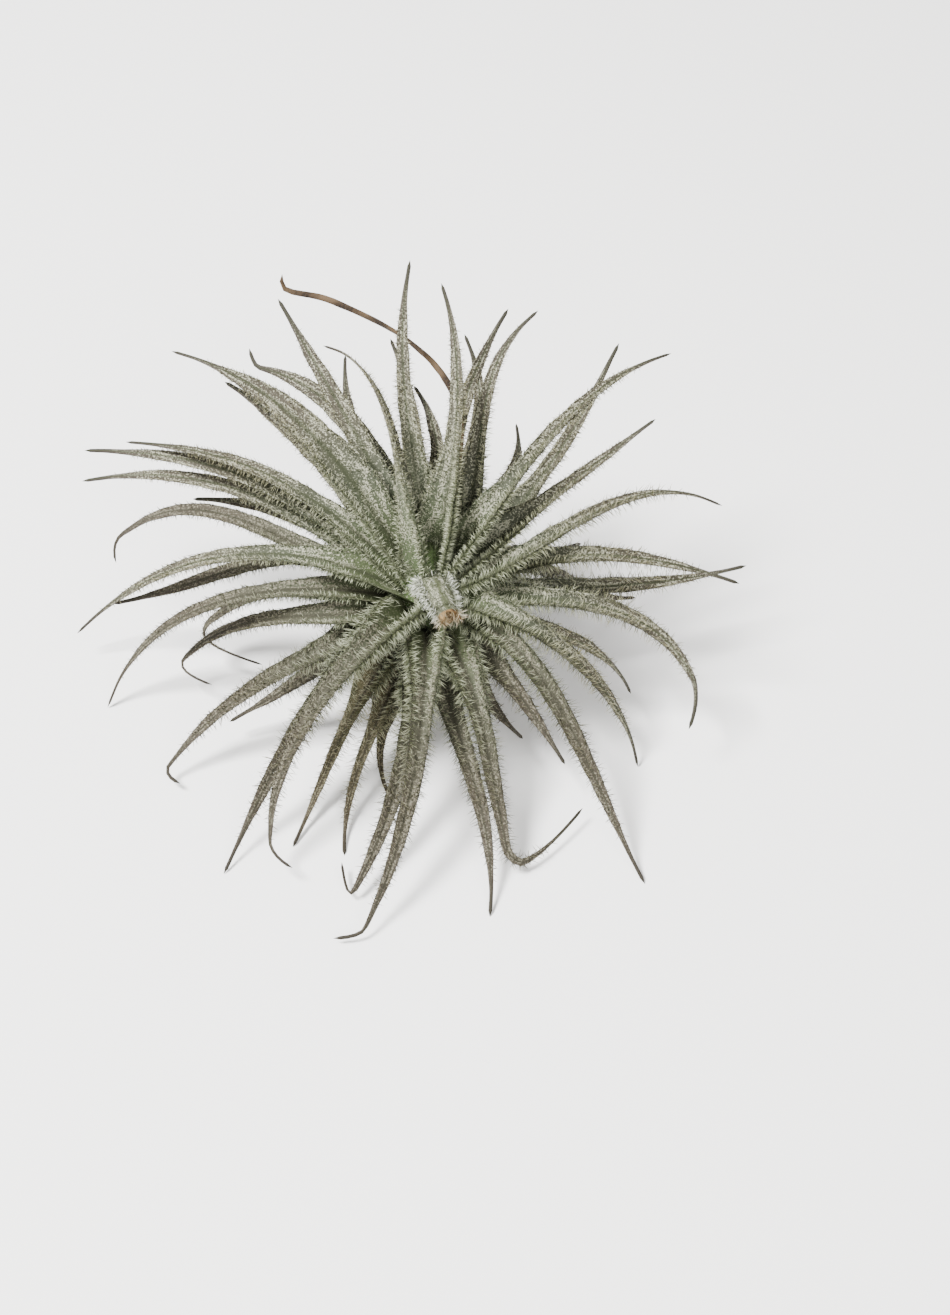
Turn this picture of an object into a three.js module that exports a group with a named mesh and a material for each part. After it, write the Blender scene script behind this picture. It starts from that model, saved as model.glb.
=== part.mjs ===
// Small fuzzy air plant, standing on the cut end of its short stem.
// Millimetres, +Z up, origin at the centre of the stem's flat end.
import * as THREE from 'three';

// Stem: a short stub that swells into the crown that the leaves grow from.
const footRadius = 3.4;
const stubRadius = 4.2;
const stubShoulder = 6;
const crownRadius = 6.5;
const crownHeight = 20;
const stemSides = 20;
const crownSteps = 9;

// Leaves: channelled blades that taper from the crown to a thread-thin tip.
const baseGap = 0.35;
const baseWidth = 2.4;
const fullWidth = 3.0;
const tipWidth = 0.4;
const baseThickness = 0.8;
const tipThickness = 0.3;
const channelDepth = 0.12;
const bellyWidth = 0.6;
const bellyDepth = 0.35;
const swellShare = 0.2;
const taperPower = 0.8;
const handleShare = 0.38;
const bladeRings = 11;
const hookRings = 6;

const colours = {
  stem: '#5e5140',
  young: '#90a07c',
  leaf: '#8c937c',
  old: '#6d6a54',
  withered: '#7a5a3c',
};

// Every leaf is steered by a few angles in degrees and lengths in millimetres.
// aim, reach, height: direction, distance from the stem's axis and height of the blade's end.
// rise, lean: how steeply it leaves the crown, and how far to the side of its aim it starts.
// fall, curl: how steeply it ends (minus is downward), and how far it ends turned to the side.
// hook: a bent end that carries on for turn, then runs on for run towards heading and pitch.
// broad makes the middle of the blade wider, and age picks another colour.
const backLeaves = [
  { aim: 94, reach: 36, height: 58, rise: 63, lean: 2, fall: 56, curl: -24, age: 'young' },
  { aim: 86, reach: 33, height: 56, rise: 76, lean: -36, fall: 46, curl: 31, age: 'young' },
  { aim: 71, reach: 39, height: 48, rise: 55, lean: 2, fall: 30, curl: -19 },
  { aim: 63, reach: 38, height: 50, rise: 48, lean: -19, fall: 26, curl: -34 },
  { aim: 47, reach: 44, height: 45, rise: 35, lean: -17, fall: 50, curl: 2 },
  { aim: 41, reach: 51, height: 42, rise: 58, lean: -27, fall: -4, curl: -11 },
  { aim: 32, reach: 42, height: 38, rise: 44, lean: -18, fall: 24, curl: -2 },
  { aim: 82, reach: 41, height: 40, rise: 37, lean: -10, fall: 30, curl: 36 },
  { aim: 70, reach: 42, height: 22, rise: 20, lean: -8, fall: 6, curl: 28 },
  { aim: 120, reach: 32, height: 48, rise: 78, lean: 50, fall: -6, curl: 35, age: 'young' },
  { aim: 99, reach: 40, height: 40, rise: 42, lean: -1, fall: 24, curl: 16 },
  { aim: 94, reach: 35, height: 34, rise: 28, lean: -10, fall: 10, curl: 26 },
];

const leftLeaves = [
  { aim: 108, reach: 45, height: 34, rise: 20, lean: 2, fall: 20, curl: -20 },
  { aim: 121, reach: 46, height: 48, rise: 52, lean: 1, fall: 36, curl: 6 },
  { aim: 128, reach: 44, height: 38, rise: 31, lean: -20, fall: -6, curl: 26,
    hook: { turn: 1, run: 3, heading: 110, pitch: 40 } },
  { aim: 142, reach: 51, height: 44, rise: 60, lean: 8, fall: 0, curl: 16, broad: 1.5 },
  { aim: 138, reach: 43, height: 40, rise: 38, lean: -4, fall: 8, curl: 7, broad: 1.3 },
  { aim: 152, reach: 55, height: 30, rise: 46, lean: 8, fall: -8, curl: 14 },
  { aim: 154, reach: 62, height: 27, rise: 27, lean: -7, fall: -10, curl: 14 },
  { aim: 156, reach: 62, height: 22, rise: 17, lean: -10, fall: -18, curl: 18 },
  { aim: 149, reach: 45, height: 20, rise: 4, lean: -12, fall: -10, curl: 20 },
  { aim: 160, reach: 53, height: 17, rise: 8, lean: 0, fall: -30, curl: 40,
    hook: { turn: 2.5, run: 3.5, heading: 290, pitch: -50 } },
  { aim: 173, reach: 58, height: 5, rise: 43, lean: 19, fall: -40, curl: 30 },
  { aim: 170, reach: 52, height: 10, rise: 34, lean: 2, fall: -14, curl: 10 },
  { aim: 185, reach: 52, height: 0.1, rise: 24, lean: 7, fall: -52, curl: 50 },
  { aim: 171, reach: 36, height: 9, rise: 12, lean: 13, fall: -40, curl: 24,
    hook: { turn: 5, run: 13, heading: 345, pitch: -8 } },
  { aim: 180, reach: 39, height: 7, rise: 14, lean: 28, fall: -40, curl: 20,
    hook: { turn: 3, run: 7, heading: 340, pitch: -8 } },
];

const frontLeaves = [
  { aim: 205, reach: 44, height: 3, rise: -2, lean: 8, fall: -30, curl: 20,
    hook: { turn: 2, run: 3.5, heading: 330, pitch: 0 } },
  { aim: 199, reach: 33, height: 4, rise: -13, lean: 11, fall: -18, curl: 4 },
  { aim: 231, reach: 48, height: 0.1, rise: 8, lean: -2, fall: -24, curl: 14 },
  { aim: 237, reach: 42, height: 6, rise: 24, lean: 5, fall: -50, curl: 32,
    hook: { turn: 2.5, run: 4, heading: 330, pitch: -5 } },
  { aim: 238, reach: 38, height: 0.1, rise: -20, lean: -6, fall: -12, curl: 10, age: 'old' },
  { aim: 250, reach: 36, height: 0.1, rise: -30, lean: -4, fall: -10, curl: 24, age: 'old' },
  { aim: 255, reach: 23, height: 0.1, rise: -42, lean: -10, fall: -10, curl: 40, age: 'old' },
  { aim: 256, reach: 43, height: 2, rise: -8, lean: 10, fall: -20, curl: -14,
    hook: { turn: 2, run: 7, heading: 100, pitch: 6 } },
  { aim: 260, reach: 49, height: 2, rise: 6, lean: 10, fall: -30, curl: -20,
    hook: { turn: 1.5, run: 4, heading: 182, pitch: 0 } },
  { aim: 282, reach: 46, height: 0.1, rise: -18, lean: -2, fall: -26, curl: -18 },
  { aim: 289, reach: 38, height: 3.5, rise: 0, lean: 6, fall: -30, curl: -4,
    hook: { turn: 5, run: 17, heading: 52, pitch: 6 } },
];

const rightLeaves = [
  { aim: 310, reach: 51, height: 0.1, rise: 14, lean: 12, fall: -24, curl: -10 },
  { aim: 313, reach: 31, height: 8, rise: -12, lean: 4, fall: -30, curl: -5 },
  { aim: 310, reach: 23, height: 8, rise: -30, lean: -4, fall: -12, curl: 6 },
  { aim: 333, reach: 37, height: 0.1, rise: 30, lean: -11, fall: -60, curl: -44 },
  { aim: 345, reach: 33, height: 8, rise: 4, lean: -9, fall: -46, curl: -40 },
  { aim: 345, reach: 42, height: 15, rise: 16, lean: 3, fall: -40, curl: -40,
    hook: { turn: 3.5, run: 5.5, heading: 240, pitch: -50 } },
  { aim: 0, reach: 48, height: 24, rise: 28, lean: 6, fall: -18, curl: -10 },
  { aim: 12, reach: 52, height: 17, rise: 6, lean: -8, fall: 8, curl: 0 },
  { aim: 16, reach: 48, height: 28, rise: 38, lean: -30, fall: -24, curl: -30 },
];

// The lowest tier, hidden behind the crown, ends just above the surface.
const underLeaves = [
  { aim: 30, reach: 40, height: 0.1, rise: 8, lean: 0, fall: -24, curl: 6 },
  { aim: 52, reach: 42, height: 0.1, rise: -8, lean: 0, fall: -20, curl: -6 },
  { aim: 78, reach: 38, height: 0.1, rise: 0, lean: 4, fall: -24, curl: 8 },
  { aim: 103, reach: 40, height: 0.1, rise: -2, lean: 2, fall: -20, curl: -8 },
  { aim: 128, reach: 42, height: 0.1, rise: -12, lean: 2, fall: -22, curl: 8 },
];

// One leaf is broken off short, and one is withered to a thin brown strand.
const brokenLeaf = { aim: 288, reach: 10, height: 28, rise: 68, lean: 0, fall: -25, curl: 10 };
const witheredLeaf = { aim: 117, reach: 50, height: 46, rise: 67, lean: -62, fall: 8, curl: 62 };
const tiers = {
  back: backLeaves,
  left: leftLeaves,
  front: frontLeaves,
  right: rightLeaves,
  under: underLeaves,
};
const brokenWidth = 3.2;
const brokenThickness = 1.5;
const strandWidth = 0.8;
const strandTip = 0.45;
const strandFlatness = 0.8;
const breakShare = 0.5;

const degree = Math.PI / 180;
const crown = new THREE.Vector3(0, 0, crownHeight);
const sectionSides = 6;

function heading(azimuth, pitch) {
  return new THREE.Vector3(
    Math.cos(pitch * degree) * Math.cos(azimuth * degree),
    Math.cos(pitch * degree) * Math.sin(azimuth * degree),
    Math.sin(pitch * degree),
  );
}

// The middle line of a leaf: one long bend, then the hook if it has one.
function leafLine(leaf) {
  const start = heading(leaf.aim + leaf.lean, leaf.rise);
  const finish = heading(leaf.aim + leaf.curl, leaf.fall);
  const foot = crown.clone().addScaledVector(start, crownRadius + baseGap);
  const end = heading(leaf.aim, 0).multiplyScalar(leaf.reach).setZ(leaf.height);
  const pull = handleShare * foot.distanceTo(end);
  const bend = new THREE.CubicBezierCurve3(
    foot,
    foot.clone().addScaledVector(start, pull),
    end.clone().addScaledVector(finish, -pull),
    end,
  );
  const line = bend.getSpacedPoints(bladeRings);
  if (leaf.hook) {
    const corner = end.clone().addScaledVector(finish, leaf.hook.turn);
    const away = heading(leaf.hook.heading, leaf.hook.pitch);
    const last = corner.clone().addScaledVector(away, leaf.hook.run);
    const hook = new THREE.QuadraticBezierCurve3(end, corner, last);
    line.push(...hook.getSpacedPoints(hookRings).slice(1));
  }
  return line;
}

// One cross-section: a crescent with raised edges, its middle on the leaf's line.
function crescent(width, thickness) {
  const half = width / 2;
  const edge = thickness / 2 + channelDepth * half;
  return [
    [half, edge],
    [0, thickness / 2],
    [-half, edge],
    [-bellyWidth * half, -bellyDepth * thickness],
    [0, -thickness / 2],
    [bellyWidth * half, -bellyDepth * thickness],
  ];
}

// A closed blade swept along a line without twisting, ending in a point.
function sweepBlade(line, widthAt, thicknessAt) {
  const last = line.length - 1;
  const points = [];
  const across = new THREE.Vector3();
  for (let i = 0; i < last; i += 1) {
    const along = line[i + 1].clone().sub(line[Math.max(i - 1, 0)]).normalize();
    if (i === 0) {
      across.crossVectors(along, new THREE.Vector3(0, 0, 1));
    }
    across.addScaledVector(along, -across.dot(along)).normalize();
    const up = across.clone().cross(along).normalize();
    for (const [side, rise] of crescent(widthAt(i / last), thicknessAt(i / last))) {
      points.push(line[i].clone().addScaledVector(across, side).addScaledVector(up, rise));
    }
  }
  points.push(line[last].clone());
  return closedGeometry(points, bladeFaces(last));
}

function bladeFaces(rings) {
  const faces = [0, 1, 5, 5, 1, 4, 4, 1, 3, 3, 1, 2];
  for (let i = 0; i < rings; i += 1) {
    for (let j = 0; j < sectionSides; j += 1) {
      const a = i * sectionSides + j;
      const b = i * sectionSides + ((j + 1) % sectionSides);
      if (i < rings - 1) {
        faces.push(a, b + sectionSides, b);
        faces.push(a, a + sectionSides, b + sectionSides);
      } else {
        faces.push(b, a, rings * sectionSides);
      }
    }
  }
  return faces;
}

function closedGeometry(points, faces) {
  const geometry = new THREE.BufferGeometry();
  const numbers = points.flatMap((point) => point.toArray());
  geometry.setAttribute('position', new THREE.Float32BufferAttribute(numbers, 3));
  geometry.setIndex(faces);
  geometry.computeVertexNormals();
  return geometry;
}

// Widens a little past the base, then tapers all the way to the tip.
function makeLeaf(leaf) {
  const broad = fullWidth * (leaf.broad ?? 1);
  const widthAt = (way) => {
    const swell = THREE.MathUtils.smoothstep(way, 0, swellShare);
    const wide = THREE.MathUtils.lerp(baseWidth, broad, swell);
    return THREE.MathUtils.lerp(tipWidth, wide, Math.pow(1 - way, taperPower));
  };
  const thicknessAt = (way) => THREE.MathUtils.lerp(baseThickness, tipThickness, way);
  return sweepBlade(leafLine(leaf), widthAt, thicknessAt);
}

function makeBrokenLeaf() {
  const line = leafLine(brokenLeaf);
  const blunt = line.slice(0, -1);
  const end = blunt[blunt.length - 1].clone().lerp(line[line.length - 1], breakShare);
  const widthAt = (way) => THREE.MathUtils.lerp(baseWidth, brokenWidth, way);
  const thicknessAt = (way) => THREE.MathUtils.lerp(baseThickness, brokenThickness, way);
  return sweepBlade([...blunt, end], widthAt, thicknessAt);
}

function makeStrand() {
  const widthAt = (way) => THREE.MathUtils.lerp(strandWidth, strandTip, way);
  return sweepBlade(leafLine(witheredLeaf), widthAt, (way) => strandFlatness * widthAt(way));
}

// A turned stub, a little narrower at its cut end, with the round crown on top of it.
function makeStem() {
  const profile = [
    new THREE.Vector2(0, 0),
    new THREE.Vector2(footRadius, 0),
    new THREE.Vector2(stubRadius, stubShoulder),
  ];
  const neck = -Math.acos(stubRadius / crownRadius);
  for (let i = 0; i < crownSteps; i += 1) {
    const turn = THREE.MathUtils.lerp(neck, Math.PI / 2, i / crownSteps);
    const height = crownHeight + crownRadius * Math.sin(turn);
    profile.push(new THREE.Vector2(crownRadius * Math.cos(turn), height));
  }
  profile.push(new THREE.Vector2(0, crownHeight + crownRadius));
  return new THREE.LatheGeometry(profile, stemSides).rotateX(Math.PI / 2);
}

function addPiece(plant, name, geometry, colour) {
  const material = new THREE.MeshStandardMaterial({ color: colour, roughness: 0.85, metalness: 0 });
  const piece = new THREE.Mesh(geometry, material);
  piece.name = name;
  plant.add(piece);
}

function buildPlant() {
  const plant = new THREE.Group();
  plant.name = 'air_plant';
  addPiece(plant, 'stem', makeStem(), colours.stem);
  for (const [place, leaves] of Object.entries(tiers)) {
    leaves.forEach((leaf, i) => {
      const name = `leaf_${place}_${String(i + 1).padStart(2, '0')}`;
      addPiece(plant, name, makeLeaf(leaf), colours[leaf.age ?? 'leaf']);
    });
  }
  addPiece(plant, 'leaf_broken', makeBrokenLeaf(), colours.leaf);
  addPiece(plant, 'leaf_withered', makeStrand(), colours.withered);
  return plant;
}

export default buildPlant();
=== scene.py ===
import math
import random
from functools import partial

import bmesh
import bpy
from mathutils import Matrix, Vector


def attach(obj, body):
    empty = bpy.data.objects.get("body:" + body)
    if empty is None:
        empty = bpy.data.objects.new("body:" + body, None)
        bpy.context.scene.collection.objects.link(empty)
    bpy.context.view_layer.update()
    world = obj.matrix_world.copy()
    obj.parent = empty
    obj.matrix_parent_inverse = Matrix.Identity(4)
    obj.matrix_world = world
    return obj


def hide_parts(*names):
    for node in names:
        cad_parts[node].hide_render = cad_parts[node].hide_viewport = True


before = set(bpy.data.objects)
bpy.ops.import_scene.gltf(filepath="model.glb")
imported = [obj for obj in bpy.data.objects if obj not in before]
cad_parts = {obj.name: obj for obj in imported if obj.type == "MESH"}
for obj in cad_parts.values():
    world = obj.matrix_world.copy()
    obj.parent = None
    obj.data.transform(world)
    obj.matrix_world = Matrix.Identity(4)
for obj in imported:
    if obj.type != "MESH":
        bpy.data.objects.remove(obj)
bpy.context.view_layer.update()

mm = 0.001
scene = bpy.context.scene
crown = Vector((0, 0, 20 * mm))  # the middle of the rosette, which every leaf grows from
print("frame loaded:", len(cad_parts), "solids")


cameraView = {
    "elevation": 48,         # degrees above the floor
    "distance": 300 * mm,
    "right": 7.44 * mm,      # slides the plant left and up in the view
    "up": -8.60 * mm,
    "lens": 53.0,
}


def aimCamera(view):
    tilt = math.radians(view["elevation"])
    ahead = Vector((0, math.cos(tilt), -math.sin(tilt)))
    upward = Vector((0, math.sin(tilt), math.cos(tilt)))
    data = bpy.data.cameras.new("camera")
    data.lens = view["lens"]
    data.clip_start = 5 * mm
    data.clip_end = 20
    camera = bpy.data.objects.new("camera", data)
    sideways = Vector((view["right"], 0, 0)) + upward * view["up"]
    camera.location = crown - ahead * view["distance"] + sideways
    camera.rotation_euler = (math.pi / 2 - tilt, 0, 0)
    scene.collection.objects.link(camera)
    scene.camera = camera


aimCamera(cameraView)
print("camera placed")


def paint(hexColour):
    channels = [int(hexColour[i:i + 2], 16) / 255 for i in (1, 3, 5)]
    linear = [c / 12.92 if c <= 0.04045 else ((c + 0.055) / 1.055) ** 2.4 for c in channels]
    return (*linear, 1.0)


def addNode(tree, kind, links=(), **settings):
    # links are values, colours, nodes or sockets, in the sockets' order or by their names
    node = tree.nodes.new(kind)
    for name, value in settings.items():
        setattr(node, name, value)
    sockets = [s for s in node.inputs if s.enabled]
    if isinstance(links, dict):
        pairs = [(next(s for s in sockets if s.name == name), v) for name, v in links.items()]
    else:
        pairs = list(zip(sockets, links))
    for socket, value in pairs:
        for one in value if isinstance(value, list) else [value]:
            if isinstance(one, bpy.types.Node):
                one = next(s for s in one.outputs if s.enabled)
            if isinstance(one, bpy.types.NodeSocket):
                tree.links.new(one, socket)
            elif isinstance(one, str) and one.startswith("#"):
                socket.default_value = paint(one)
            elif one is not None:
                socket.default_value = one
    return node


def setRamp(node, stops):
    elements = node.color_ramp.elements
    while len(elements) < len(stops):
        elements.new(0.5)
    for element, (place, colour) in zip(elements, stops):
        element.position = place
        element.color = paint(colour)


# Living leaf skin: a thin green skin under a felt of dead, hollow, white scales.
# It is matt, mottled silver and green, greener where it is young or sheltered,
# and it dries to a dark thread at the tip.
livingSkin = {
    "stops": [(0.0, "#434e2c"), (0.12, "#414b2e"), (0.35, "#3c4032"), (0.6, "#403c32"),
              (0.88, "#36312a"), (1.0, "#282421")],
    "scales": "#908f7c",
    # painted shade in the low spots of the grain
    "pitShade": "#2b2e1f",
    # the groove's dark colour is partly painted shade in the channel
    "groove": "#2c301f",
    "fleck": 0.26 * mm,
    "roughness": 0.78,
    "sheltered": (0.04, 0.2),    # along the leaf: from bare green to full scales
    "drying": (0.8, 0.94),       # and where the scales thin out
    "grooveShadeEdge": (0.005, 0.045),
    "relief": 0.08 * mm,
}
youngSkin = dict(livingSkin, stops=[
    (0.0, "#445430"), (0.16, "#444f34"), (0.35, "#454a39"), (0.6, "#47453a"),
    (0.88, "#3d382f"), (1.0, "#2b2724")])
# A darker, warmer copy of the living skin for the leaves low down: painted shade, where less light
# reaches them.
shadedLowerSkin = dict(livingSkin, groove="#2a291e", scales="#6f6b5c", stops=[
    (0.0, "#434e2c"), (0.12, "#414a2e"), (0.3, "#3d3f31"), (0.6, "#3f3a30"),
    (0.88, "#352f28"), (1.0, "#282420")])
heartSkin = dict(livingSkin, groove="#4a5a35", stops=[(0.0, "#4a5e33"), (1.0, "#4a5a35")])
brokenSkin = dict(livingSkin, groove="#41452f", stops=[(0.0, "#434a33"), (1.0, "#4f5141")])
oldSkin = dict(livingSkin, groove="#28241a", scales="#77715c", stops=[
    (0.0, "#3b321f"), (0.2, "#433f27"), (0.5, "#44402d"), (0.8, "#3b3427"),
    (0.93, "#2c251c"), (1.0, "#1f1a14")])


# Where a blade lies in its UV map. Its hair takes the strip beside it.
bladeMap = {"wide": 0.86, "long": 0.98, "margin": 0.01}
grooveMiddle = bladeMap["margin"] + bladeMap["wide"] / 4   # a quarter of the way round the leaf


# The scales and the nap lie in rows that run along the leaf, with dark furrows between them. The
# rows are lighter, partly a painted highlight along them.
rowLook = {
    "round": 17,                 # rows and furrows round the leaf
    "length": 0.12,              # of one row, against the leaf's length
    "shift": 6.0,                # how differently they lie from leaf to leaf
}


def drawRows(add, mapped, spot):
    # 0 in a furrow and 1 on a row, the same for the skin and for the nap that grows on it
    shift = add("ShaderNodeTexNoise", {"Vector": spot, "Scale": 1 / (20 * mm), "Detail": 0.0})
    shift = add("ShaderNodeMath", [shift, rowLook["shift"]], operation="MULTIPLY")
    place = add("ShaderNodeSeparateXYZ", [mapped])
    rowX = add("ShaderNodeMath", [place.outputs["X"], rowLook["round"]], operation="MULTIPLY")
    rowY = add("ShaderNodeMath", [place.outputs["Y"], rowLook["length"]], operation="DIVIDE")
    rows = add("ShaderNodeTexNoise", {
        "Vector": add("ShaderNodeCombineXYZ", [rowX, rowY, shift]), "Scale": 1.0, "Detail": 1.0})
    return add("ShaderNodeMapRange", [rows, 0.44, 0.58, 0.0, 1.0])


def makeSkin(name, look):
    material = bpy.data.materials.new(name)
    material.use_nodes = True
    tree = material.node_tree
    tree.nodes.clear()
    add = partial(addNode, tree)
    mapped = add("ShaderNodeUVMap", uv_map="OFBake")
    place = add("ShaderNodeSeparateXYZ", [mapped])
    along = place.outputs["Y"]
    tone = add("ShaderNodeValToRGB", [along])
    setRamp(tone, look["stops"])
    # white flecks of scales, fewer towards the dried tip, and dark pits between them: painted shade
    # in the low spots of the same grain that drives the bump
    spot = add("ShaderNodeTexCoord").outputs["Object"]
    grain = add("ShaderNodeTexNoise", {"Vector": spot, "Scale": 1 / look["fleck"], "Detail": 2.0})
    rows = drawRows(add, mapped, spot)
    flecks = add("ShaderNodeMath", [rows, 0.14, grain], operation="MULTIPLY_ADD")
    felt = add("ShaderNodeMapRange", [flecks, 0.58, 0.67, 0.0, 0.95])
    pitShade = add("ShaderNodeMapRange", [grain, 0.36, 0.46, 0.4, 0.0])
    thinning = add("ShaderNodeMapRange", [along, *look["drying"], 1.0, 0.05])
    felt = add("ShaderNodeMath", [felt, thinning], operation="MULTIPLY")
    sheltered = add("ShaderNodeMapRange", [along, *look["sheltered"], 0.0, 1.0])
    felt = add("ShaderNodeMath", [felt, sheltered], operation="MULTIPLY")
    scaly = add("ShaderNodeMix", [felt, tone, look["scales"]], data_type="RGBA")
    scaly = add("ShaderNodeMix", [pitShade, scaly, look["pitShade"]], data_type="RGBA")
    # the groove down the middle of the upper side holds fewer scales, and its dark colour is partly
    # painted shade in the channel
    across = add("ShaderNodeMath", [place.outputs["X"], grooveMiddle], operation="SUBTRACT")
    away = add("ShaderNodeMath", [across], operation="ABSOLUTE")
    groove = add("ShaderNodeMapRange", [away, *look["grooveShadeEdge"], 0.85, 0.0])
    grooveShaded = add("ShaderNodeMix", [groove, scaly, look["groove"]], data_type="RGBA")
    bump = add("ShaderNodeBump", {"Strength": 0.5, "Distance": look["relief"], "Height": grain})
    skin = add("ShaderNodeBsdfPrincipled", {
        "Base Color": grooveShaded, "Roughness": look["roughness"],
        "Specular IOR Level": 0.2, "Normal": bump})
    add("ShaderNodeOutputMaterial", [skin])
    return material


# Leaf hair: dead, hollow cells, clear where they are full of air and dull where they are not. Each
# one catches the light on its own, so the leaf glitters and has a bright outline; the brightest of
# the three shades is partly painted glint.
leafHair = {"roots": ["#363c25", "#454b32", "#61664b"], "tips": ["#434931", "#63684e", "#bcc1a4"],
            "outward": "#e8dace", "dry": "#4a443b", "dryFrom": 0.80, "roughness": 0.33}
# A copy of the leaf hair with a darker outward tint for the leaves low down: painted shade.
shadedLowerHair = dict(leafHair, outward="#a1968a")
stubHair = dict(leafHair, outward="#ffffff", roots=["#3a3e2d", "#5f634e", "#999c87"],
                tips=["#5a5e49", "#b4b8a3", "#f7f8ee"], dry="#9a835f", dryFrom=0.9)
heartHair = dict(leafHair, outward="#ffffff", dryFrom=0.99)
hairShades = 3
hairStrip = (0.886, 0.032)       # where the shades start in the UV map, and how far apart they are


def makeHair(name, look):
    material = bpy.data.materials.new(name)
    material.use_nodes = True
    tree = material.node_tree
    tree.nodes.clear()
    add = partial(addNode, tree)
    place = add("ShaderNodeSeparateXYZ", [add("ShaderNodeUVMap", uv_map="OFBake")])
    first, apart = hairStrip
    colour = None
    for shade, (root, tip) in enumerate(zip(look["roots"], look["tips"])):
        start = first + shade * apart
        height = add("ShaderNodeMapRange",
                     [place.outputs["X"], start, start + 0.7 * apart, 0.0, 1.0])
        drawn = add("ShaderNodeMix", [height, root, tip], data_type="RGBA")
        chosen = add("ShaderNodeMath", [place.outputs["X"], start - 0.1 * apart],
                     operation="GREATER_THAN")
        colour = add("ShaderNodeMix", [chosen, colour, drawn], data_type="RGBA")
    outward = add("ShaderNodeMapRange", [place.outputs["Y"], 0.2, 0.6, 0.0, 1.0])
    colour = add("ShaderNodeMix", [outward, colour, look["outward"]], data_type="RGBA",
                 blend_type="MULTIPLY")
    dryness = add("ShaderNodeMapRange", [place.outputs["Y"], look["dryFrom"], 1.0, 0.0, 0.9])
    dried = add("ShaderNodeMix", [dryness, colour, look["dry"]], data_type="RGBA")
    hair = add("ShaderNodeBsdfPrincipled", {
        "Base Color": dried, "Roughness": look["roughness"], "IOR": 1.45})
    add("ShaderNodeOutputMaterial", [hair])
    return material


# Dry stem: dead leaf bases, grey-brown and papery, split into fibres along their length.
# It is rough and has no shine, and the broken ends are paler than the flat sides.
dryBark = {"dark": "#1d1810", "mid": "#463d2c", "pale": "#7b7059", "fibre": 0.35 * mm,
           "stretch": 0.12}
# The torn end of the broken leaf: straw-coloured, stringy fibres, darker in the pit.
tornFibre = {"dark": "#2b1e10", "mid": "#755a38", "pale": "#7f6946", "fibre": 0.45 * mm,
             "stretch": 0.7}
# The withered leaf: thin, curled, brown and papery, with a slight gloss on its ridges.
witheredPaper = {"dark": "#1a130c", "mid": "#372a1c", "pale": "#554532", "fibre": 0.25 * mm,
                 "stretch": 0.3}


def makeBark(name, look):
    material = bpy.data.materials.new(name)
    material.use_nodes = True
    tree = material.node_tree
    tree.nodes.clear()
    add = partial(addNode, tree)
    spot = add("ShaderNodeTexCoord").outputs["Object"]
    drawn = add("ShaderNodeMapping", {"Vector": spot, "Scale": (1.0, 1.0, look["stretch"])})
    fibres = add("ShaderNodeTexNoise", {"Vector": drawn, "Scale": 1 / look["fibre"], "Detail": 3.0})
    patches = add("ShaderNodeTexNoise", {"Vector": spot, "Scale": 1 / (4 * mm), "Detail": 2.0})
    streak = add("ShaderNodeMapRange", [fibres, 0.35, 0.68, 0.0, 1.0])
    colour = add("ShaderNodeMix", [streak, look["dark"], look["mid"]], data_type="RGBA")
    faded = add("ShaderNodeMapRange", [patches, 0.45, 0.65, 0.0, 0.8])
    colour = add("ShaderNodeMix", [faded, colour, look["pale"]], data_type="RGBA")
    bump = add("ShaderNodeBump", {"Strength": 0.8, "Distance": 0.15 * mm, "Height": fibres})
    bark = add("ShaderNodeBsdfPrincipled", {
        "Base Color": colour, "Roughness": 0.85, "Specular IOR Level": 0.25, "Normal": bump})
    add("ShaderNodeOutputMaterial", [bark])
    return material


skins = {
    "leaf": makeSkin("silveryLeafSkin", livingSkin),
    # a copy with painted shade, for the leaves low down
    "shaded_lower_leaf": makeSkin("shadedLowerLeafSkin", shadedLowerSkin),
    "young_leaf": makeSkin("youngLeafSkin", youngSkin),
    "old_leaf": makeSkin("agedLeafSkin", oldSkin),
}
hairPaint = makeHair("whiteLeafHair", leafHair)
# the hair for the leaves low down, with painted shade
shadedLowerHairPaint = makeHair("shadedLowerLeafHair", shadedLowerHair)
stubHairPaint = makeHair("brokenLeafHair", stubHair)
print("materials made")


# One leaf. A user of the model would change these.
leafSizes = {
    "Rings": 56,
    "Sides": 11,
    "Blade width": 2.9 * mm,
    "Sheath width": 5.2 * mm,
    "Tip width": 0.55 * mm,
    "Sheath length": 19 * mm,
    "Base thickness": 0.85 * mm,
    "Tip thickness": 0.40 * mm,
    "Channel": 0.90,             # depth of the groove against half the width
    "Slimness": 1.0,             # above 1 the leaf narrows sooner
    "Blunt": 0.0,                # 1 ends the leaf at its full width
    "Twist": 0.0,
    "Wander": 0.35 * mm,
    "Ripple": 0.22,              # how uneven the edges are against the width
    "Fringe width": 0.052 * mm,  # half of a hair's foot, thicker than life so that it shows
    "Fringe length": 1.35 * mm,
    "Fringe per square metre": 2.5e7,
    "Nap width": 0.046 * mm,
    "Nap length": 0.60 * mm,
    "Nap per square metre": 9.5e6,
    "Nap lean": 1.6,             # how flat the nap lies along the leaf
    "Nap scatter": 0.60,
    "Furrows": 1.0,              # how bare the furrows between the rows of nap are
    "Bare root": 5 * mm,
    "Hair at tip": 0.0,
    "Seed": 1,
}


# The blade's width along the leaf, full at the base and nothing at the tip.
taperEnds = ((0.0, 1.0), (1.0, 0.0))
taperPoints = ((0.25, 1.0), (0.5, 0.86), (0.7, 0.62), (0.8, 0.42), (0.88, 0.17), (0.94, 0.05))
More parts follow.
